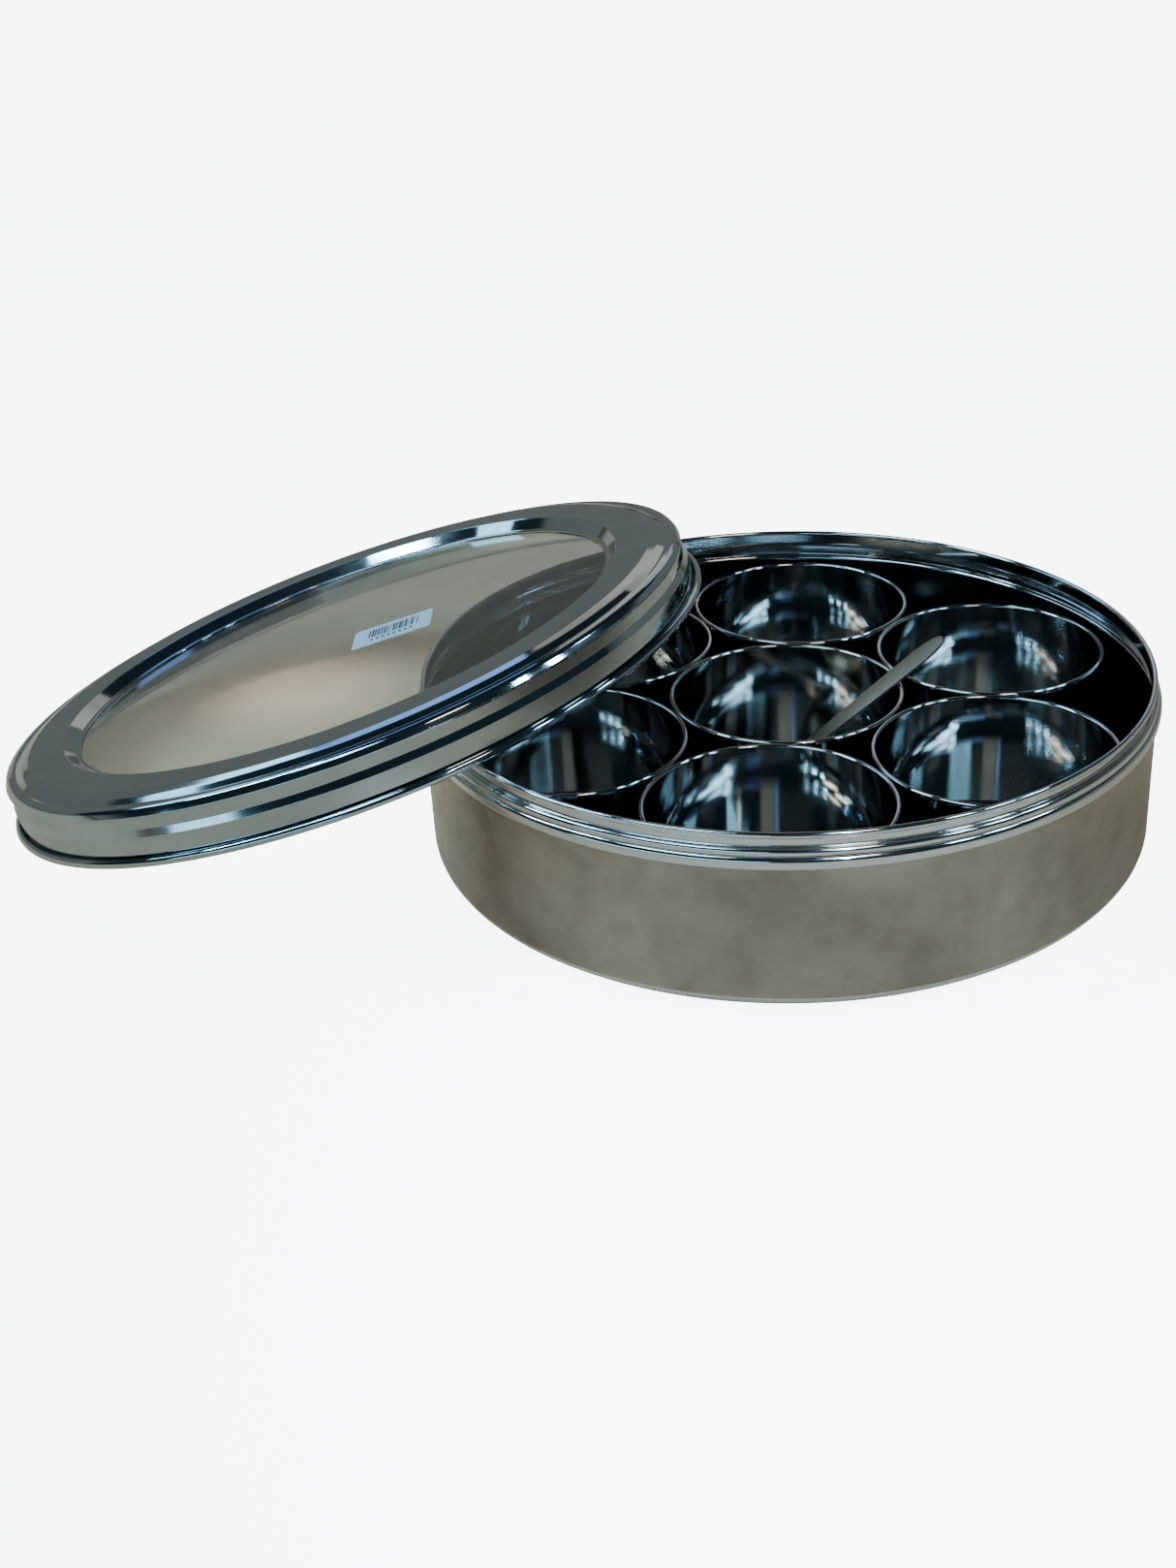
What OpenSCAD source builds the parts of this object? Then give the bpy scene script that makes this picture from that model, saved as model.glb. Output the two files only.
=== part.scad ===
// Spice box: a round sheet-steel box that holds seven small bowls and a spoon, and its
// see-through lid. The lid is off the box and leans on the rolled rim, with its low edge
// on the table. All sizes are in millimetres. The origin is the centre of the box's flat
// underside, +Z is up, and the lid leans out towards -X.

/* [Box] */
// Outer radius of the plain wall
wall_r = 133.4; // [132.9:0.1:134]
// Overall height of the box
box_h = 65.5; // [65:0.5:67]
// Thickness of the steel sheet of the box and the lid
sheet = 0.7; // [0.5:0.1:0.9]
// Radius of the rounded bottom corner
corner_r = 8; // [4:1:14]
// Outer radius of the bead that stops the lid
bead_r = 135; // [134.6:0.1:135.1]
// Height of the middle of that bead
bead_z = 55.6; // [50:0.2:56]

/* [Bowls] */
// Outer radius of a bowl's rolled rim
bowl_rim_r = 43.3; // [40:0.1:43.4]
// Height of a bowl
bowl_h = 51.3; // [40:0.1:52]
// Thickness of a bowl's sheet
bowl_sheet = 0.6; // [0.5:0.1:0.8]
// Gap between the rims of two neighbouring bowls
bowl_gap = 0.4; // [0.4:0.1:1]
// Direction of the back right bowl from the centre, counter-clockwise from +X
bowls_turn = 38; // [34:1:40]

/* [Lid] */
// Angle between the leaning lid and the table
lid_tilt = 16.6; // [16.5:0.1:17.4]
// Overall height of the lid
lid_h = 22.8; // [22:0.1:24]
// Outer radius of the skirt's upper band
skirt_r = 136.2; // [136.1:0.1:136.6]
// Radius of the opening over the window
hole_r = 107; // [100:1:108]
// Thickness of the clear window
window_t = 1.4; // [1:0.1:1.6]

/* [Spoon] */
// Angle between the spoon and the table
spoon_slope = 35.8; // [34:0.2:38]
// Direction in which the handle points, counter-clockwise from +X
spoon_heading = 27; // [26:1:32]
// Length of the handle past the bowl's rim
spoon_overhang = 23; // [14:1:30]

/* [Hidden] */
$fn = 96;

clearance = 0.3;                // between pieces that only rest on each other
steel = "silver";

// Box section
rim_roll = 1.1;                 // radius of the rolled rim's section
rim_c = 131.9;                  // radius of the circle along the rolled rim's middle
neck_r = 131.7;                 // outer radius of the neck under the rim
bead_roll = 2.4;                // radius of the bead's section
ridge_roll = 1.5;               // radius of the small ridge's section
ridge_c = 132.4;                // radius of the circle along the ridge's middle
ridge_rise = 3.3;               // from the bead's middle up to the ridge's middle

// Bowl section
bowl_roll = 0.9;                // radius of a bowl's rolled rim section
bowl_c = bowl_rim_r - bowl_roll;
bowl_r = bowl_c - 0.3;          // outer radius of a bowl's wall
bowl_corner = 9;                // radius of a bowl's rounded bottom corner
bowl_step = 2 * bowl_rim_r + bowl_gap;
bowl_top = sheet + bowl_h;

// Lid section: every height is above the bottom of the skirt
curl_roll = 1.6;                // radius of the curled bottom edge's section
curl_c = skirt_r + 2.3;         // radius of the circle along the curl's middle
low_band_r = skirt_r + 1;       // outer radius of the skirt's lower band
step_low = 10.2;
step_high = 12.8;
shoulder_roll = 3.4;            // radius of the shoulder's section
shoulder_c = skirt_r - 2.7;     // radius of the circle along the shoulder's middle
shoulder_z = lid_h - 5.3;
ledge_z = shoulder_z + shoulder_roll;
crown_r = 125.6;                // outer radius of the flat top ring
crown_foot_r = 132.3;           // radius at which the crown's slope meets the ledge
crown_slope = atan((lid_h - ledge_z) / (crown_foot_r - crown_r));
well_z = lid_h - 3.8;           // height of the step that holds the window
well_r = hole_r + 1.5;
well_top_r = hole_r + 5.5;
well_slope = atan((lid_h - well_z) / (well_top_r - well_r));
window_top = well_z - sheet;
window_r = hole_r + 3;
retainer_t = 0.8;

// Place of the leaning lid. Its curl lies seat_rise above the rolled rim where the two
// circles cross, and touches the table at its lowest point.
seat_rise = 3.1;
curl_mid_z = curl_roll + curl_c * sin(lid_tilt);
cross_u = (box_h - rim_roll + seat_rise - curl_mid_z) / sin(lid_tilt);
cross_x = sqrt(rim_c ^ 2 - curl_c ^ 2 + cross_u ^ 2);
lid_reach = cross_u * cos(lid_tilt) + cross_x - curl_roll * sin(lid_tilt);
lid_rise = curl_mid_z - curl_roll * cos(lid_tilt);

// Spoon
spoon_t = 1.1;                  // thickness of the handle
spoon_dish_r = 12;              // radius of the spoon's dish at its edge
spoon_dish_depth = 5;
spoon_dish_x = -72.5;           // middle of the dish, along the handle from the rim
neck_half = 1.9;                // half of the handle's width at the dish
handle_half = 5;                // half of the handle's greatest width
handle_blade = 13;              // from the tip back to the widest place
handle_tip = 3;                 // radius of the handle's rounded tip
spoon_cross = 25;               // direction in which the handle crosses the rim
dish_sphere_r = (spoon_dish_r ^ 2 + spoon_dish_depth ^ 2) / (2 * spoon_dish_depth);

// Label
label_size = [32, 22, 0.2];
label_corner = 1.5;
label_at = [19, 5];
label_turn = 19;

// A round in a section, at radius r and height z.
module round_at(r, z, size) {
    translate([r, z]) circle(r = size);
}

// Everything inside the box's skin, as a half section, drawn in by inset.
module box_section(inset) {
    top = inset > 0 ? box_h + 1 : box_h - rim_roll;
    translate([0, corner_r]) square([wall_r - inset, bead_z - corner_r]);
    translate([0, inset]) square([wall_r - corner_r, corner_r]);
    round_at(wall_r - corner_r, corner_r, corner_r - inset);
    round_at(bead_r - bead_roll, bead_z, bead_roll - inset);
    round_at(ridge_c, bead_z + ridge_rise, ridge_roll - inset);
    translate([0, bead_z]) square([neck_r - inset, top - bead_z]);
}

module box_body() {
    color(steel) rotate_extrude() {
        difference() {
            box_section(0);
            box_section(sheet);
        }
        round_at(rim_c, box_h - rim_roll, rim_roll);
    }
}

// Everything inside a bowl's skin, as a half section, drawn in by inset.
module bowl_section(inset) {
    top = inset > 0 ? bowl_h + 1 : bowl_h - bowl_roll;
    translate([0, bowl_corner]) square([bowl_r - inset, top - bowl_corner]);
    translate([0, inset]) square([bowl_r - bowl_corner, bowl_corner]);
    round_at(bowl_r - bowl_corner, bowl_corner, bowl_corner - inset);
}

module spice_bowl() {
    color(steel) rotate_extrude() {
        difference() {
            bowl_section(0);
            bowl_section(bowl_sheet);
        }
        round_at(bowl_c, bowl_h - bowl_roll, bowl_roll);
    }
}

// One of the six outer bowls, counted counter-clockwise from the back right one.
module outer_bowl(index) {
    rotate([0, 0, bowls_turn + 60 * index])
        translate([bowl_step, 0, sheet])
            spice_bowl();
}

module bowl_centre() { translate([0, 0, sheet]) spice_bowl(); }
module bowl_back_right() { outer_bowl(0); }
module bowl_back() { outer_bowl(1); }
module bowl_back_left() { outer_bowl(2); }
module bowl_front_left() { outer_bowl(3); }
module bowl_front() { outer_bowl(4); }
module bowl_front_right() { outer_bowl(5); }

// The handle's outline: narrow at the dish, widest near its rounded end.
module handle_outline() {
    neck = spoon_dish_x + spoon_dish_r - 1;
    wide = spoon_overhang - handle_blade;
    hull() {
        translate([neck, -neck_half]) square([1, 2 * neck_half]);
        translate([wide, 0]) circle(r = handle_half);
    }
    hull() {
        translate([wide, 0]) circle(r = handle_half);
        translate([spoon_overhang - handle_tip, 0]) circle(r = handle_tip);
    }
}

// The dish: a shallow cap of a hollow sphere, open upwards.
module spoon_dish() {
    translate([spoon_dish_x, 0, 0]) intersection() {
        translate([0, 0, dish_sphere_r - spoon_dish_depth]) difference() {
            sphere(r = dish_sphere_r);
            sphere(r = dish_sphere_r - 0.8);
        }
        translate([0, 0, -spoon_dish_depth]) cylinder(r = spoon_dish_r + 1, h = spoon_dish_depth);
    }
}

// The spoon leans on the centre bowl's rim, with its dish on that bowl's floor.
module spoon() {
    color(steel)
        rotate([0, 0, spoon_cross]) translate([bowl_c, 0, bowl_top - bowl_roll])
            rotate([0, 0, spoon_heading - spoon_cross]) rotate([0, -spoon_slope, 0])
                translate([0, 0, bowl_roll + 2 * clearance]) {
                    linear_extrude(spoon_t) handle_outline();
                    translate([0, 0, spoon_t]) spoon_dish();
                }
}

// Puts what is drawn about the lid's own axis where the lid leans.
module leaning() {
    translate([-lid_reach, 0, lid_rise]) rotate([0, -lid_tilt, 0]) children();
}

// The space over the lid's sunken middle, as a half section, drawn in by inset.
module well_section(inset) {
    side = inset * tan(well_slope / 2);
    over = 5;
    polygon([[-1, well_z - inset],
             [well_r + side, well_z - inset],
             [well_top_r + side + over / tan(well_slope), lid_h - inset + over],
             [-1, lid_h - inset + over]]);
}

// Everything under the lid's skin, as a half section, drawn in by inset.
module lid_section(inset) {
    bottom = inset > 0 ? -1 : curl_roll;
    side = inset * tan(crown_slope / 2);
    difference() {
        union() {
            translate([0, bottom]) square([low_band_r - inset, step_low - bottom]);
            polygon([[0, step_low], [low_band_r - inset, step_low],
                     [skirt_r - inset, step_high], [0, step_high]]);
            translate([0, step_high]) square([skirt_r - inset, shoulder_z - step_high]);
            round_at(shoulder_c, shoulder_z, shoulder_roll - inset);
            translate([0, shoulder_z]) square([shoulder_c, shoulder_roll - inset]);
            polygon([[0, ledge_z - inset], [crown_foot_r - side, ledge_z - inset],
                     [crown_r - side, lid_h - inset], [0, lid_h - inset]]);
        }
        well_section(inset);
    }
}

module lid_shell() {
    color(steel) leaning() rotate_extrude() {
        difference() {
            lid_section(0);
            lid_section(sheet);
            translate([-1, 0]) square([hole_r + 1, lid_h]);
        }
        round_at(curl_c, curl_roll, curl_roll);
    }
}

module lid_window() {
    color([0.75, 0.8, 0.8, 0.35]) leaning()
        translate([0, 0, window_top - window_t]) cylinder(r = window_r, h = window_t);
}

// Ring that holds the window up against the lid's step, with a leg behind the slope.
module window_ring() {
    low = window_top - window_t - retainer_t;
    leg_r = window_r + 0.6;
    color(steel) leaning() rotate_extrude() {
        translate([hole_r, low]) square([leg_r + retainer_t - hole_r, retainer_t]);
        translate([leg_r, low]) square([retainer_t, window_top + 1.3 - low]);
    }
}

module rounded_rectangle(size, r) {
    square([size.x - 2 * r, size.y], center = true);
    square([size.x, size.y - 2 * r], center = true);
    for (x = [-1, 1], y = [-1, 1])
        translate([x * (size.x / 2 - r), y * (size.y / 2 - r)]) circle(r = r);
}

module price_label() {
    color("aliceblue") leaning()
        translate([label_at.x, label_at.y, window_top]) rotate([0, 0, label_turn])
            linear_extrude(label_size.z) rounded_rectangle(label_size, label_corner);
}

box_body();
bowl_centre();
bowl_back_right();
bowl_back();
bowl_back_left();
bowl_front_left();
bowl_front();
bowl_front_right();
spoon();
lid_shell();
lid_window();
window_ring();
price_label();
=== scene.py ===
import bmesh
import bpy
from math import atan2, cos, pi, radians, sin, tan
from mathutils import Matrix, Vector


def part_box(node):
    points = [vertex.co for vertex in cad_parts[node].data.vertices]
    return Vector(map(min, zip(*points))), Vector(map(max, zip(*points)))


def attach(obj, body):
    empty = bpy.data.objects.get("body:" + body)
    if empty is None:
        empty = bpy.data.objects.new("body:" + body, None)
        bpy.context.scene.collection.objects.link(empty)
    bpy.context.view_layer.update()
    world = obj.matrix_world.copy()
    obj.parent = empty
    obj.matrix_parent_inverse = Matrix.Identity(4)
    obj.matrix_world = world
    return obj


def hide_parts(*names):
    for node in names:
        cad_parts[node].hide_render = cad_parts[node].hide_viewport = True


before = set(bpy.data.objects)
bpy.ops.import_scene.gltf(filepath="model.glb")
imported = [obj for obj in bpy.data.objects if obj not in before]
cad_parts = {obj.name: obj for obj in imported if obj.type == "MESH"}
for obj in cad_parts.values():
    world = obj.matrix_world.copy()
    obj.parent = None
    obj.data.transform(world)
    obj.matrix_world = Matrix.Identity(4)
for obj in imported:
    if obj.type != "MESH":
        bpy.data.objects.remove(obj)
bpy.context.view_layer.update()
mm = 0.001

camera = {
    "place": (0.1334, -0.6319, 0.3522),
    "heading": 14.94,           # degrees, counter-clockwise from +Y
    "down": 27.41,
    "roll": -1.9,
    "lens": 44.2,
    "shift": (-0.0697, -0.0053),
}


def makeCamera(c):
    data = bpy.data.cameras.new("studioCamera")
    data.lens = c["lens"]
    data.sensor_width = 36
    data.shift_x, data.shift_y = c["shift"]
    data.clip_start = 0.01
    data.clip_end = 50
    eye = bpy.data.objects.new("studioCamera", data)
    bpy.context.scene.collection.objects.link(eye)
    heading = Matrix.Rotation(radians(c["heading"]), 4, "Z")
    tilt = Matrix.Rotation(radians(90 - c["down"]), 4, "X")
    roll = Matrix.Rotation(radians(c["roll"]), 4, "Z")
    eye.matrix_world = Matrix.Translation(c["place"]) @ heading @ tilt @ roll
    bpy.context.scene.camera = eye


makeCamera(camera)
print("camera placed")


turning = {
    "bendStep": 11,             # degrees of a bend that one facet takes
    "leastFacets": 3,
    "weld": 0.00001,            # metres, points nearer than this become one
    "sharpFrom": 42,            # degrees, a sharper fold keeps its edge
    "sectionFirst": 1000000,    # so that the place along the section outweighs the turn
}


def newPiece(bm, name):
    mesh = bpy.data.meshes.new(name)
    bm.to_mesh(mesh)
    bm.free()
    piece = bpy.data.objects.new(name, mesh)
    bpy.context.scene.collection.objects.link(piece)
    return piece


def bakeShape(piece):
    ready = piece.evaluated_get(bpy.context.evaluated_depsgraph_get())
    mesh = bpy.data.meshes.new_from_object(ready)
    piece.modifiers.clear()
    piece.data = mesh


def thicken(piece, thick, side=-1, even=False):
    # side -1 puts the metal under the faces, and 1 over them
    wall = piece.modifiers.new("sheet", "SOLIDIFY")
    wall.thickness = thick * mm
    wall.offset = side
    wall.use_even_offset = even
    bakeShape(piece)


def smoothBends(piece):
    piece.data.shade_smooth()
    piece.data.set_sharp_from_angle(angle=radians(turning["sharpFrom"]))
    flat = piece.modifiers.new("flat faces stay flat", "WEIGHTED_NORMAL")
    flat.keep_sharp = True


def sectionLine(corners):
    # a bent line in the XZ plane from (radius, height, bend radius) corners, in mm
    bm = bmesh.new()
    points = [Vector((r * mm, 0, z * mm)) for r, z, bend in corners]
    line = [bm.verts.new(p) for p in points]
    for a, b in zip(line, line[1:]):
        bm.edges.new((a, b))
    for i, (r, z, bend) in enumerate(corners[1:-1], 1):
        if bend:
            turn = (points[i] - points[i - 1]).angle(points[i + 1] - points[i])
            facets = max(turning["leastFacets"], round(turn / radians(turning["bendStep"])))
            bmesh.ops.bevel(
                bm, geom=[line[i]], offset=bend * mm * tan(turn / 2), offset_type="OFFSET",
                segments=facets, profile=0.5, affect="VERTICES", material=-1)
    return bm


def markSection(bm):
    # stores how far along the section each point lies, for the turning marks
    along = bm.verts.layers.float.new("section")
    ends = [v for v in bm.verts if len(v.link_edges) == 1]
    here = min(ends, key=lambda v: (v.co.x, v.co.z))
    onward = list(here.link_edges)
    while onward:
        came = onward[0]
        there = came.other_vert(here)
        there[along] = here[along] + (there.co - here.co).length
        here = there
        onward = [e for e in here.link_edges if e is not came]


def settleOrder(bm):
    # bends and spins leave points, edges and faces in an order that changes from run to run,
    # so they are put in order along the section and round the axis
    along = bm.verts.layers.float["section"]

    def placeOf(verts):
        far = [v[along] for v in verts]
        turn = atan2(sum(v.co.y for v in verts), sum(v.co.x for v in verts))
        return (min(far) + max(far)) * turning["sectionFirst"] + turn

    bm.verts.sort(key=lambda v: placeOf([v]))
    bm.edges.sort(key=lambda e: placeOf(e.verts))
    bm.faces.sort(key=lambda f: placeOf(f.verts))


def turned(name, corners, steps, sheet=0.0, place=Matrix.Identity(4), skinUp=False):
    # spins a section of the skin about Z; the sheet's thickness in mm goes under a skin that
    # faces up, and over one that faces down
    bm = sectionLine(corners)
    markSection(bm)
    settleOrder(bm)
    bmesh.ops.spin(bm, geom=bm.verts[:] + bm.edges[:], cent=(0, 0, 0), axis=(0, 0, 1),
                   angle=2 * pi, steps=steps, use_merge=True)
    bmesh.ops.remove_doubles(bm, verts=bm.verts, dist=turning["weld"])
    settleOrder(bm)
    bmesh.ops.recalc_face_normals(bm, faces=bm.faces)
    pick = max if skinUp else min
    outermost = pick(bm.faces, key=lambda f: f.calc_center_median().z)
    if sheet and (outermost.normal.z > 0) != skinUp:
        bmesh.ops.reverse_faces(bm, faces=bm.faces)
    piece = newPiece(bm, name)
    if sheet:
        thicken(piece, sheet, even=True)
    piece.data.transform(place)
    smoothBends(piece)
    return piece


def dress(piece, body, part, material):
    piece.data.materials.clear()
    piece.data.materials.append(material)
    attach(piece, body)
    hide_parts(part)


def newGroup(name, inputs, outputs):
    tree = bpy.data.node_groups.new(name, "ShaderNodeTree")
    for label, kind in inputs:
        tree.interface.new_socket(label, in_out="INPUT", socket_type=kind)
    for label, kind in outputs:
        tree.interface.new_socket(label, in_out="OUTPUT", socket_type=kind)
    return tree, tree.nodes.new("NodeGroupInput"), tree.nodes.new("NodeGroupOutput")


def feed(tree, socket, value):
    # another node's output is linked, and a plain value is set
    if isinstance(value, bpy.types.NodeSocket):
        tree.links.new(value, socket)
    else:
        socket.default_value = value


def node(tree, kind, inputs=None, **settings):
    made = tree.nodes.new(kind)
    for key, value in settings.items():
        setattr(made, key, value)
    for key, value in (inputs or {}).items():
        feed(tree, made.inputs[key], value)
    return made


def noise(tree, vector, scale, detail=2, **more):
    inputs = {"Vector": vector, "Scale": scale, "Detail": detail, **more}
    return node(tree, "ShaderNodeTexNoise", inputs).outputs["Fac"]


def spread(tree, value, low, high, toLow=0.0, toHigh=1.0):
    inputs = {"Value": value, "From Min": low, "From Max": high, "To Min": toLow, "To Max": toHigh}
    return node(tree, "ShaderNodeMapRange", inputs).outputs["Result"]


def calc(tree, operation, a, b=0.0):
    return node(tree, "ShaderNodeMath", {0: a, 1: b}, operation=operation).outputs[0]


def mixColour(tree, share, a, b):
    made = node(tree, "ShaderNodeMix", data_type="RGBA")
    feed(tree, made.inputs[0], share)
    for socket, colour in ((made.inputs[6], a), (made.inputs[7], b)):
        feed(tree, socket, colour if isinstance(colour, bpy.types.NodeSocket) else (*colour, 1))
    return made.outputs[2]


ringPattern = {
    "detail": 4.0,
    "raggedness": 0.7,
    "patchScale": 38.0,
    "faintest": 0.25,           # strength of the rings where the cloth hardly touched
}

smudgePattern = {
    "swirl": 0.6,
    "smallerBy": 5.3,
    "cloudRange": (0.42, 0.72),
    "cloudShare": 0.8,
    "smallRange": (0.45, 0.8),
    "smallShare": 0.35,
}


def makeTurningGroup(p):
    # rings left by polishing on a wheel: thin lines along the section, uneven round the piece
    inputs = [("Section", "NodeSocketFloat"), ("Point", "NodeSocketVector")]
    inputs.append(("Rings Per Metre", "NodeSocketFloat"))
    tree, given, out = newGroup("turningMarks", inputs, [("Rings", "NodeSocketFloat")])
    at = calc(tree, "MULTIPLY", given.outputs["Section"], given.outputs["Rings Per Metre"])
    lines = {"W": at, "Scale": 1.0, "Detail": p["detail"], "Roughness": p["raggedness"]}
    fine = node(tree, "ShaderNodeTexNoise", lines, noise_dimensions="1D").outputs["Fac"]
    patches = noise(tree, given.outputs["Point"], p["patchScale"])
    patchy = spread(tree, patches, 0.35, 0.7, p["faintest"], 1.0)
    tree.links.new(calc(tree, "MULTIPLY", calc(tree, "SUBTRACT", fine, 0.5), patchy), out.inputs["Rings"])
    return tree


def makeSmudgeGroup(p):
    # finger grease and cloth marks: big soft clouds broken up by small ones
    inputs = [("Point", "NodeSocketVector"), ("Size", "NodeSocketFloat")]
    tree, given, out = newGroup("smudges", inputs, [("Smudges", "NodeSocketFloat")])
    scale = calc(tree, "DIVIDE", 1.0, given.outputs["Size"])
    clouds = noise(tree, given.outputs["Point"], scale, 3, Distortion=p["swirl"])
    small = noise(tree, given.outputs["Point"], calc(tree, "MULTIPLY", scale, p["smallerBy"]), 4)
    clouds = spread(tree, clouds, *p["cloudRange"], 0, p["cloudShare"])
    small = spread(tree, small, *p["smallRange"], 0, p["smallShare"])
    tree.links.new(calc(tree, "ADD", clouds, small), out.inputs["Smudges"])
    return tree


turningMarks = makeTurningGroup(ringPattern)
smudges = makeSmudgeGroup(smudgePattern)


def newMaterial(name):
    made = bpy.data.materials.new(name)
    made.use_nodes = True
    tree = made.node_tree
    return made, tree, tree.nodes["Principled BSDF"]


def objectPoint(tree):
    return node(tree, "ShaderNodeTexCoord").outputs["Object"]


def sectionOf(tree):
    return node(tree, "ShaderNodeAttribute", attribute_name="section").outputs["Fac"]


def useGroup(tree, group, inputs):
    return node(tree, "ShaderNodeGroup", inputs, node_tree=group).outputs


finest = {
    "rough": 0.03,              # no polish on thin sheet is finer
    "ringDepth": 0.0001,        # metres
}


def steel(name, look):
    made, tree, shader = newMaterial(name)
    point = objectPoint(tree)
    rings = useGroup(tree, turningMarks, {
        "Section": sectionOf(tree), "Point": point, "Rings Per Metre": look["rings"]})["Rings"]
    wear = useGroup(tree, smudges, {"Point": point, "Size": look["smudgeSize"]})
    share = spread(tree, wear["Smudges"], 0.0, 1.0)
    tree.links.new(mixColour(tree, share, look["clean"], look["worn"]), shader.inputs["Base Color"])
    rough = spread(tree, wear["Smudges"], 0.0, 1.0, *look["rough"])
    rough = calc(tree, "ADD", rough, calc(tree, "MULTIPLY", rings, look["ringRough"]))
    tree.links.new(calc(tree, "MAXIMUM", rough, finest["rough"]), shader.inputs["Roughness"])
    bump = node(tree, "ShaderNodeBump", {
        "Height": rings, "Strength": look["ringBump"], "Distance": finest["ringDepth"]})
    tree.links.new(bump.outputs["Normal"], shader.inputs["Normal"])
    shader.inputs["Metallic"].default_value = 1
    return made


boxLook = {
    "clean": (0.41, 0.375, 0.335),
    "worn": (0.26, 0.22, 0.175),
    "polished": (0.66, 0.68, 0.70),
    "rough": (0.30, 0.42),
    "polishedRough": (0.08, 0.14),
    "satinTop": 53.4,           # mm above the table, where the buffed bead begins
    "inside": 132.9,            # mm from the axis: nearer than this is the polished inside
    "smudgeSize": 0.05,
}

boxShape = [
    (0, 0, 0), (133.4, 0, 8), (133.4, 53.25, 0.35), (135, 53.25, 1.55), (135, 57.7, 1.9),
    (133.45, 57.85, 0.25), (133.9, 58.2, 0.5), (133.9, 60.35, 1.4), (131.7, 60.35, 0.45),
    (131.7, 64.2, 0.3), (131.55, 64.8, 0.36), (132.3, 64.8, 0.36), (132.3, 64, 0.36), (131.85, 64, 0),
]


def boxSteel(look):
    made, tree, shader = newMaterial("box steel")
    point = objectPoint(tree)
    place = node(tree, "ShaderNodeSeparateXYZ", {"Vector": point}).outputs
    flatPoint = node(tree, "ShaderNodeCombineXYZ", {"X": place["X"], "Y": place["Y"]}).outputs["Vector"]
    fromAxis = node(tree, "ShaderNodeVectorMath", {0: flatPoint}, operation="LENGTH").outputs["Value"]
    below = calc(tree, "LESS_THAN", place["Z"], look["satinTop"] * mm)
    outside = calc(tree, "GREATER_THAN", fromAxis, look["inside"] * mm)
    satin = calc(tree, "MULTIPLY", below, outside)
    wear = useGroup(tree, smudges, {"Point": point, "Size": look["smudgeSize"]})
    wall = mixColour(tree, spread(tree, wear["Smudges"], 0.0, 1.1), look["clean"], look["worn"])
    tree.links.new(mixColour(tree, satin, look["polished"], wall), shader.inputs["Base Color"])
    rough = calc(tree, "MULTIPLY", spread(tree, wear["Smudges"], 0.0, 1.0, *look["rough"]), satin)
    smooth = spread(tree, wear["Smudges"], 0.3, 1.0, *look["polishedRough"])
    smooth = calc(tree, "MULTIPLY", smooth, calc(tree, "SUBTRACT", 1.0, satin))
    tree.links.new(calc(tree, "ADD", rough, smooth), shader.inputs["Roughness"])
    shader.inputs["Metallic"].default_value = 1
    return made


box = turned("box_sheet", boxShape, 256, sheet=0.7)
dress(box, "box", "box_body", boxSteel(boxLook))
print("box made")


bowlLook = {
    "clean": (0.55, 0.59, 0.60),
    "worn": (0.48, 0.51, 0.52),
    "rough": (0.04, 0.09),
    "smudgeSize": 0.03,
    "rings": 2600.0,
    "ringRough": 0.12,
    "ringBump": 0.08,
}

bowlShape = [
    (0, 0, 0), (42.1, 0, 9), (42.1, 50.72, 0.28), (42.7, 50.72, 0.28), (42.7, 50.1, 0.28), (42.4, 50.1, 0),
]

bowlSteel = steel("bowl steel", bowlLook)
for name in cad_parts:
    if name.startswith("bowl_"):
        low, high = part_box(name)
        foot = Matrix.Translation(((low.x + high.x) / 2, (low.y + high.y) / 2, low.z))
        bowl = turned(name + "_sheet", bowlShape, 160, sheet=0.6, place=foot)
        dress(bowl, name.replace("bowl_", "") + "_bowl", name, bowlSteel)
print("bowls made")


lidForm = {
    "tilt": 16.6,               # degrees
    "curlCircle": 138.5,        # mm, middle of the curled edge
    "curlRoll": 1.6,
    "shoulderCircle": 133.5,
    "shoulderHeight": 17.5,
    "shoulderRoll": 3.4,
}

lidShape = [
    (107, 18.35, 0), (107, 19, 0.35), (108.5, 19, 0.9), (112.5, 22.8, 1.1), (125.8, 22.8, 3),
    (129.2, 21.9, 5), (131.8, 20.5, 0.4), (133.0, 20.8, 0.3), (135.6, 20.3, 2.2), (136.9, 17.7, 0.5),
    (136.75, 17.1, 0.15), (136.2, 16.9, 0.15), (136.2, 12.8, 0.3), (137.2, 10.2, 0.3), (137.2, 2.2, 0.6),
    (137.6, 1.4, 0.5), (137.6, 0.7, 0.85), (139.4, 0.7, 0.88), (139.4, 2.5, 0.88), (138.2, 2.5, 0),
]

lidLook = {
    "clean": (0.52, 0.60, 0.645),
    "worn": (0.45, 0.51, 0.545),
    "rough": (0.05, 0.11),
    "smudgeSize": 0.04,
    "rings": 1500.0,
    "ringRough": 0.15,
    "ringBump": 0.05,
}


def lidPlace(form):
    tilt = radians(form["tilt"])
    low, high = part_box("lid_shell")
    leftmost = form["shoulderRoll"] + form["shoulderCircle"] * cos(tilt)
    leftmost += form["shoulderHeight"] * sin(tilt)
    across = -low.x - leftmost * mm
    up = (form["curlRoll"] * (1 - cos(tilt)) + form["curlCircle"] * sin(tilt)) * mm
    return Matrix.Translation((-across, 0, up)) @ Matrix.Rotation(-tilt, 4, "Y")


onLid = lidPlace(lidForm)
lid = turned("lid_sheet", lidShape, 256, sheet=0.7, place=onLid, skinUp=True)
dress(lid, "lid", "lid_shell", steel("lid steel", lidLook))

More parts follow.
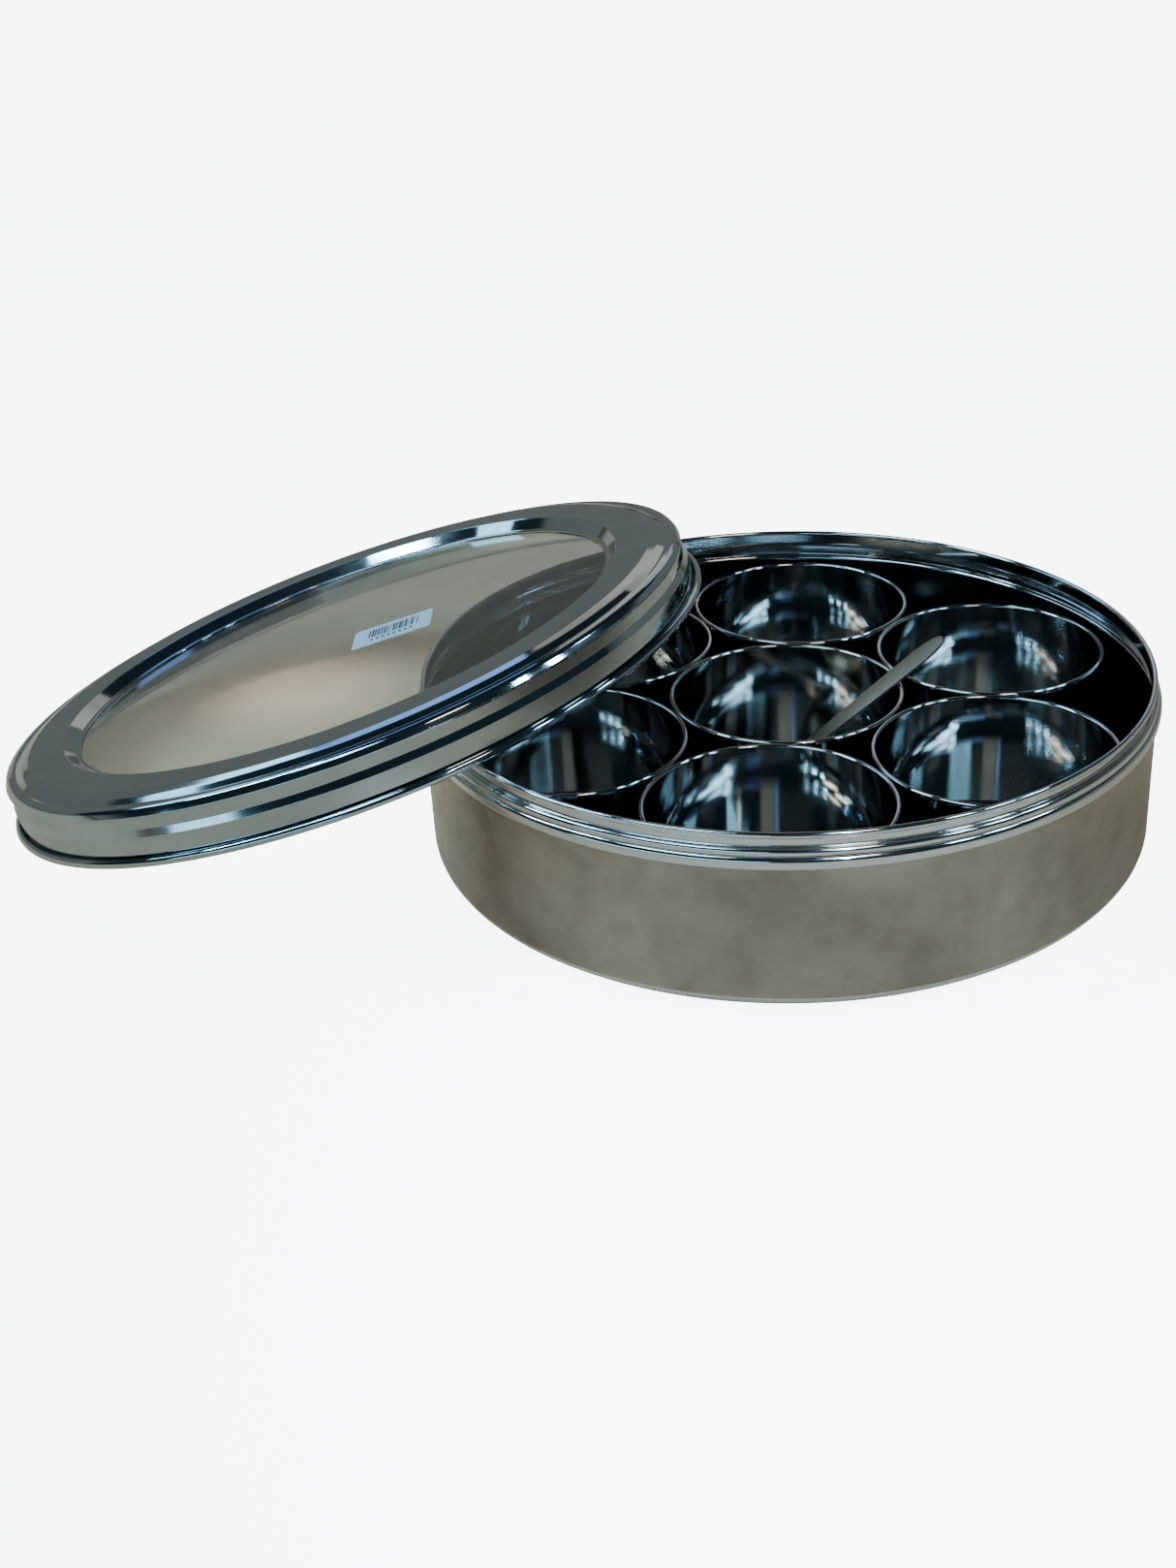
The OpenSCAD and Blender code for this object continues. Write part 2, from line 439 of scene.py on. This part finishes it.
ringShape = [(107, 16.1, 0), (111.4, 16.1, 0.9), (111.4, 19.6, 0)]
ring = turned("ring_sheet", ringShape, 192, sheet=0.8, place=onLid)
dress(ring, "lid", "window_ring", steel("ring steel", lidLook))

windowShape = [(0, 16.9, 0), (110, 16.9, 0.3), (110, 18.3, 0.3), (0, 18.3, 0)]

windowLook = {
    "tint": (0.85, 0.88, 0.88),
    "smeared": (0.78, 0.80, 0.79),
    "shadow": (0.93, 0.93, 0.91),
    "rough": (0.0, 0.02),
    "smudgeSize": 0.06,
    "ior": 1.46,
}


def windowPlastic(look):
    made, tree, shader = newMaterial("window plastic")
    point = objectPoint(tree)
    wear = useGroup(tree, smudges, {"Point": point, "Size": look["smudgeSize"]})
    rough = spread(tree, wear["Smudges"], 0.2, 1.0, *look["rough"])
    tree.links.new(rough, shader.inputs["Roughness"])
    tint = mixColour(tree, spread(tree, wear["Smudges"], 0.0, 1.0), look["tint"], look["smeared"])
    tree.links.new(tint, shader.inputs["Base Color"])
    shader.inputs["IOR"].default_value = look["ior"]
    shader.inputs["Transmission Weight"].default_value = 1
    # light goes straight through, so the window's shadow isn't black
    clear = node(tree, "ShaderNodeBsdfTransparent", {"Color": (*look["shadow"], 1)}).outputs[0]
    shadow = node(tree, "ShaderNodeLightPath").outputs["Is Shadow Ray"]
    blend = node(tree, "ShaderNodeMixShader", {0: shadow, 1: shader.outputs[0], 2: clear})
    tree.links.new(blend.outputs[0], tree.nodes["Material Output"].inputs["Surface"])
    return made


window = turned("window_disc", windowShape, 192, place=onLid)
dress(window, "lid", "lid_window", windowPlastic(windowLook))
print("lid made")


label = {
    "size": (32, 22),           # mm
    "cells": (16, 11),
    "corner": 1.5,
    "thick": 0.12,
    "at": (19, 5, 18.32),       # mm, on the window
    "turn": 19,
    "paper": (0.62, 0.76, 0.92),
    "fibreScale": 2500.0,
    "fibreShade": 0.9,
    "rough": (0.45, 0.6),
    "ink": (0.02, 0.03, 0.05),
    "inkShare": 0.95,
    "bars": 26.0,               # in the label's whole width
    "barWidths": (0.25, 0.85),
    "barsTall": (0.40, 0.82),   # shares of the label's height and width
    "barsWide": (0.16, 0.84),
    "dashes": 14.0,
    "dashLong": (0.2, 0.75),
    "dashesTall": (0.2, 0.3),
    "dashesWide": (0.2, 0.8),
}


def makeLabel(form):
    bm = bmesh.new()
    uv = bm.loops.layers.uv.new("UVMap")
    bmesh.ops.create_grid(bm, x_segments=form["cells"][0], y_segments=form["cells"][1], size=0.5)
    for face in bm.faces:
        for loop in face.loops:
            loop[uv].uv = (loop.vert.co.x + 0.5, loop.vert.co.y + 0.5)
    wide, tall = form["size"]
    bmesh.ops.scale(bm, vec=(wide * mm, tall * mm, 1), verts=bm.verts)
    tips = [v for v in bm.verts if len(v.link_edges) == 2]
    bmesh.ops.bevel(bm, geom=tips, offset=form["corner"] * mm, offset_type="OFFSET",
                    segments=5, profile=0.5, affect="VERTICES", material=-1)
    piece = newPiece(bm, "label_paper")
    thicken(piece, form["thick"], side=1)
    turn = Matrix.Rotation(radians(form["turn"]), 4, "Z")
    piece.data.transform(onLid @ Matrix.Translation(Vector(form["at"]) * mm) @ turn)
    return piece


def labelPaper(form):
    made, tree, shader = newMaterial("label paper")
    uv = node(tree, "ShaderNodeUVMap", uv_map="UVMap").outputs["UV"]
    place = node(tree, "ShaderNodeSeparateXYZ", {"Vector": uv}).outputs

    def between(value, limits):
        above = calc(tree, "GREATER_THAN", value, limits[0])
        return calc(tree, "MULTIPLY", above, calc(tree, "LESS_THAN", value, limits[1]))

    across = calc(tree, "MULTIPLY", place["X"], form["bars"])
    width = node(tree, "ShaderNodeTexWhiteNoise", {"W": calc(tree, "FLOOR", across)}, noise_dimensions="1D")
    width = spread(tree, width.outputs["Value"], 0.0, 1.0, *form["barWidths"])
    bars = calc(tree, "LESS_THAN", calc(tree, "FRACT", across), width)
    bars = calc(tree, "MULTIPLY", bars, between(place["Y"], form["barsTall"]))
    bars = calc(tree, "MULTIPLY", bars, between(place["X"], form["barsWide"]))
    dash = calc(tree, "FRACT", calc(tree, "MULTIPLY", place["X"], form["dashes"]))
    dashes = between(dash, form["dashLong"])
    dashes = calc(tree, "MULTIPLY", dashes, between(place["Y"], form["dashesTall"]))
    dashes = calc(tree, "MULTIPLY", dashes, between(place["X"], form["dashesWide"]))
    ink = calc(tree, "MULTIPLY", calc(tree, "MAXIMUM", bars, dashes), form["inkShare"])
    fibres = noise(tree, objectPoint(tree), form["fibreScale"], 3)
    shade = mixColour(tree, fibres, form["paper"], [c * form["fibreShade"] for c in form["paper"]])
    tree.links.new(mixColour(tree, ink, shade, form["ink"]), shader.inputs["Base Color"])
    tree.links.new(spread(tree, fibres, 0.3, 0.7, *form["rough"]), shader.inputs["Roughness"])
    return made


dress(makeLabel(label), "lid", "price_label", labelPaper(label))
print("label made")


spoonForm = {
    "slope": 35.8,              # degrees down from the rim to the dish
    "heading": 27,
    "cross": 25,                # where the handle crosses the rim, seen from the bowl's axis
    "rimCircle": 42.4,          # mm, middle of the bowl's rolled rim
    "rimHeight": 51.1,
    "above": 1.5,               # mm from the middle of the rim's roll to the handle's underside
    "dishRadius": 12,
    "dishDepth": 5,
    "dishAt": -72.5,            # mm along the handle from the rim
    "overhang": 23,
    "neckHalf": 1.9,
    "wideHalf": 5,
    "wideAt": 10,
    "leastHalf": 0.02,
    "tipCorner": 2.3,           # how square the tip's rounding is: 2 is an ellipse
    "camber": 0.12,             # mm, how far the handle's edges droop
    "camberFrom": 1.2,          # dish radii from the dish's middle
    "camberIn": 20,
    "thick": 0.9,
    "top": 1.1,
    "cells": (150, 16),
    "weld": 0.00003,
}

spoonLook = {
    "clean": (0.46, 0.38, 0.28),
    "worn": (0.38, 0.31, 0.23),
    "rough": (0.30, 0.40),
    "smudgeSize": 0.012,
    "rings": 0.0,               # pressed, not turned
    "ringRough": 0.0,
    "ringBump": 0.0,
}


def halfWidth(f, x):
    # half the spoon's width at x mm along it
    neckAt = f["dishAt"] + f["dishRadius"]
    dish = 0.0
    if x < neckAt:
        dish = max(0.0, f["dishRadius"] ** 2 - (x - f["dishAt"]) ** 2) ** 0.5
    share = min(1.0, max(0.0, (x - neckAt) / (f["wideAt"] - neckAt)))
    handle = f["neckHalf"] + (f["wideHalf"] - f["neckHalf"]) * sin(share * pi / 2)
    if x > f["wideAt"]:
        past = (x - f["wideAt"]) / (f["overhang"] - f["wideAt"])
        handle = f["wideHalf"] * max(0.0, 1 - past ** f["tipCorner"]) ** (1 / f["tipCorner"])
    if x < f["dishAt"]:
        handle = 0.0
    return max(dish, handle, f["leastHalf"])


def makeSpoon(f):
    bm = bmesh.new()
    bmesh.ops.create_grid(bm, x_segments=f["cells"][0], y_segments=f["cells"][1], size=0.5)
    start, end = f["dishAt"] - f["dishRadius"], f["overhang"]
    camberAt = f["dishAt"] + f["camberFrom"] * f["dishRadius"]
    for v in bm.verts:
        # rows crowd towards both rounded ends
        t = 0.5 - 0.5 * cos(pi * (v.co.x + 0.5))
        x = start + (end - start) * t
        y = 2 * v.co.y * halfWidth(f, x)
        out = ((x - f["dishAt"]) ** 2 + y * y) ** 0.5 / f["dishRadius"]
        z = f["top"] - f["dishDepth"] * max(0.0, 1 - out * out)
        z -= f["camber"] * (2 * v.co.y) ** 2 * min(1.0, max(0.0, (x - camberAt) / f["camberIn"]))
        v.co = (x * mm, y * mm, z * mm)
    bmesh.ops.remove_doubles(bm, verts=bm.verts, dist=f["weld"])
    bmesh.ops.recalc_face_normals(bm, faces=bm.faces)
    if sum(face.normal.z for face in bm.faces) < 0:
        bmesh.ops.reverse_faces(bm, faces=bm.faces)
    piece = newPiece(bm, "spoon_sheet")
    thicken(piece, f["thick"])
    place = Matrix.Rotation(radians(f["cross"]), 4, "Z")
    place = place @ Matrix.Translation(Vector((f["rimCircle"], 0, f["rimHeight"])) * mm)
    place = place @ Matrix.Rotation(radians(f["heading"] - f["cross"]), 4, "Z")
    place = place @ Matrix.Rotation(-radians(f["slope"]), 4, "Y")
    piece.data.transform(place @ Matrix.Translation((0, 0, f["above"] * mm)))
    smoothBends(piece)
    return piece


dress(makeSpoon(spoonForm), "spoon", "spoon", steel("spoon steel", spoonLook))
print("spoon made")


studio = {
    "floorSize": 60.0,
    "floorMiddle": (0, 2, -0.0002),
    "floorRough": 0.9,
    "floorGloss": 0.1,
    "floorPale": (0.90, 0.90, 0.89),
    "floorGlow": (7.0, 7.0, 7.0),
    "floorReflected": (0.56, 0.40, 0.275),
    "glowReflected": (0.055, 0.048, 0.036),
    "horizon": (0.160, 0.175, 0.163),
    "above": (0.010, 0.022, 0.028),
    "fade": (0.43, 0.50),       # height of the view at which the horizon ends and the dark begins
    "frontDrop": 0.40,          # how much lower it ends in front of the box than behind it
    "frontFrom": (0.35, -0.15),
}

lamps = [
    # name, place, aim, width, height, watts, colour
    ("leftWindow", (-1.9, 0.50, 1.30), (0, 0, 0.05), 1.5, 0.36, 6, (0.42, 0.78, 1.0)),
    ("farWindow", (-1.35, 1.35, 1.75), (0, 0, 0.05), 1.0, 0.6, 2.6, (0.30, 0.50, 1.0)),
    ("leftStrip", (-1.25, -0.30, 1.45), (0, 0, 0.05), 0.10, 0.8, 15, (0.50, 0.82, 1.0)),
    ("leftDoor", (-0.85, -2.20, 0.36), (0, 0, 0.05), 2.5, 0.34, 8, (0.42, 0.78, 1.0)),
    ("rightLampNear", (1.15, -0.35, 1.35), (0, 0, 0.05), 0.14, 0.20, 5, (0.50, 0.82, 1.0)),
    ("rightLampMiddle", (1.25, 0.05, 1.45), (0, 0, 0.05), 0.14, 0.22, 6, (0.50, 0.82, 1.0)),
    ("rightLampFar", (1.20, 0.50, 1.5), (0, 0, 0.05), 0.14, 0.18, 5, (0.50, 0.82, 1.0)),
    ("backPanel", (-0.72, 2.4, 1.3), (0, 0, 0.0), 1.1, 1.0, 1.6, (1.0, 0.90, 0.76)),
    ("backBluePanel", (0.05, 2.5, 1.3), (0, 0, 0.0), 0.2, 1.0, 1.0, (0.35, 0.60, 1.0)),
    ("ceilingPanel", (-0.7, -0.9, 2.1), (0, 0, 0.0), 0.9, 0.5, 15, (0.50, 0.82, 1.0)),
    ("warmPanel", (0.9, -1.2, 2.3), (0, 0, 0.0), 0.5, 0.5, 9, (1.0, 0.86, 0.70)),
]

spots = [
    # name, place, aim, full angle in degrees, soft share of the beam, watts, colour
    ("wallSheen", (0.55, -0.95, 1.0), (0.10, -0.24, 0.0), 20, 0.8, 85, (0.30, 0.60, 1.0)),
    ("patchUnderWindow", (-0.20, -0.5, 1.5), (-0.235, 0.07, 0.0), 2.6, 0.15, 75, (1.0, 0.97, 0.95)),
]
spotBulb = 0.02                 # metres


def makeFloor(s):
    bm = bmesh.new()
    bmesh.ops.create_grid(bm, x_segments=4, y_segments=4, size=s["floorSize"] / 2)
    bmesh.ops.translate(bm, vec=s["floorMiddle"], verts=bm.verts)
    floor = newPiece(bm, "floor")
    made, tree, shader = newMaterial("floor")
    seen = node(tree, "ShaderNodeLightPath").outputs["Is Camera Ray"]
    colour = mixColour(tree, seen, s["floorReflected"], s["floorPale"])
    tree.links.new(colour, shader.inputs["Base Color"])
    shader.inputs["Roughness"].default_value = s["floorRough"]
    shader.inputs["Specular IOR Level"].default_value = s["floorGloss"]
    glow = mixColour(tree, seen, s["glowReflected"], s["floorGlow"])
    tree.links.new(glow, shader.inputs["Emission Color"])
    shader.inputs["Emission Strength"].default_value = 1
    floor.data.materials.append(made)


def hang(name, kind, place, aim, watts, colour):
    data = bpy.data.lights.new(name, kind)
    data.energy = watts
    data.color = colour
    light = bpy.data.objects.new(name, data)
    bpy.context.scene.collection.objects.link(light)
    light.location = place
    towards = Vector(aim) - Vector(place)
    light.rotation_euler = towards.to_track_quat("-Z", "Y").to_euler()
    return data


def makeLights():
    for name, place, aim, wide, tall, watts, colour in lamps:
        lamp = hang(name, "AREA", place, aim, watts, colour)
        lamp.shape = "RECTANGLE"
        lamp.size, lamp.size_y = wide, tall
    for name, place, aim, angle, soft, watts, colour in spots:
        spot = hang(name, "SPOT", place, aim, watts, colour)
        spot.spot_size = radians(angle)
        spot.spot_blend = soft
        spot.shadow_soft_size = spotBulb


def makeSky(s):
    world = bpy.data.worlds.new("studio")
    bpy.context.scene.world = world
    world.use_nodes = True
    tree = world.node_tree
    way = node(tree, "ShaderNodeTexCoord").outputs["Generated"]
    way = node(tree, "ShaderNodeSeparateXYZ", {"Vector": way}).outputs
    lower = spread(tree, way["Y"], *s["frontFrom"], 0.0, s["frontDrop"])
    share = spread(tree, calc(tree, "ADD", way["Z"], lower), *s["fade"])
    sky = mixColour(tree, share, s["horizon"], s["above"])
    seen = node(tree, "ShaderNodeLightPath").outputs["Is Camera Ray"]
    sky = mixColour(tree, seen, sky, s["floorGlow"])
    tree.links.new(sky, tree.nodes["Background"].inputs["Color"])


makeFloor(studio)
makeLights()
makeSky(studio)
print("studio made")
